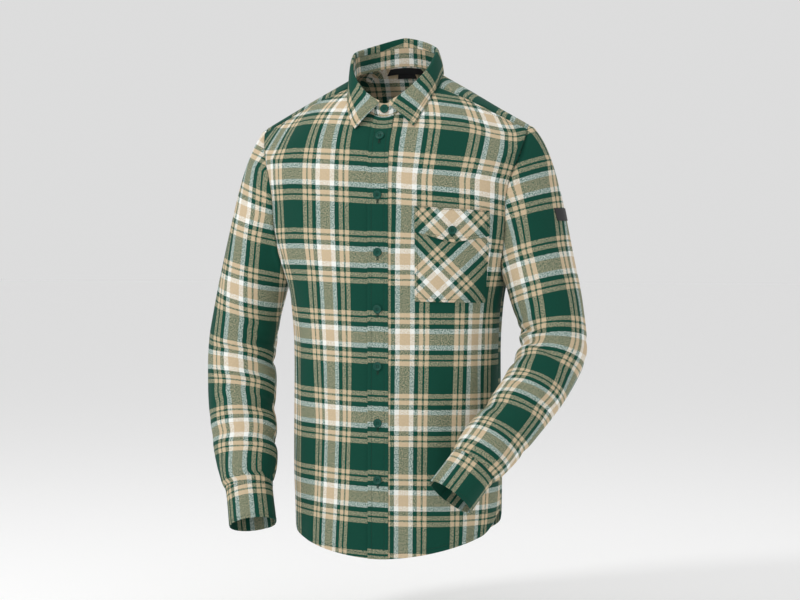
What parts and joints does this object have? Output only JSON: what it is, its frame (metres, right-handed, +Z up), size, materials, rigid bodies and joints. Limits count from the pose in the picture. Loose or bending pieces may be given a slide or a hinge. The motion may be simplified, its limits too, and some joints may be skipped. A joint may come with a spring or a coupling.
{
  "type": "flannel shirt",
  "caption": "Plaid flannel shirt, buttoned and filled out as worn, with a chest pocket and long cuffed sleeves.",
  "frame": {"origin": "middle of the neck, level with the tops of the shoulders, where the wearer holds the shirt up", "axes": "+X the wearer's left, -Y the front, +Z up"},
  "size_m": [0.6462, 0.3488, 0.861],
  "materials": {
    "flannel": "brushed twill, matte",
    "button_plastic": "polished",
    "label_cloth": "woven satin, bare"
  },
  "bodies": {
    "root": {"left_front": "flannel", "right_front": "flannel", "front_band": "flannel", "pocket": "flannel", "pocket_flap": "flannel", "back": "flannel", "yoke": "flannel", "left_sleeve_head": "flannel", "left_sleeve": "flannel", "right_sleeve_head": "flannel", "right_sleeve": "flannel", "left_cuff": "flannel", "right_cuff": "flannel", "left_sleeve_placket": "flannel", "right_sleeve_placket": "flannel", "left_cuff_button": "button_plastic", "right_cuff_button": "button_plastic", "collar_stand": "flannel", "collar_fall": "flannel", "front_button_1": "button_plastic", "front_button_2": "button_plastic", "front_button_3": "button_plastic", "front_button_4": "button_plastic", "front_button_5": "button_plastic", "front_button_6": "button_plastic", "front_button_7": "button_plastic", "collar_button": "button_plastic", "pocket_button": "button_plastic", "neck_label": "label_cloth", "size_label": "label_cloth", "sleeve_label": "label_cloth"}
  },
  "joints": []
}
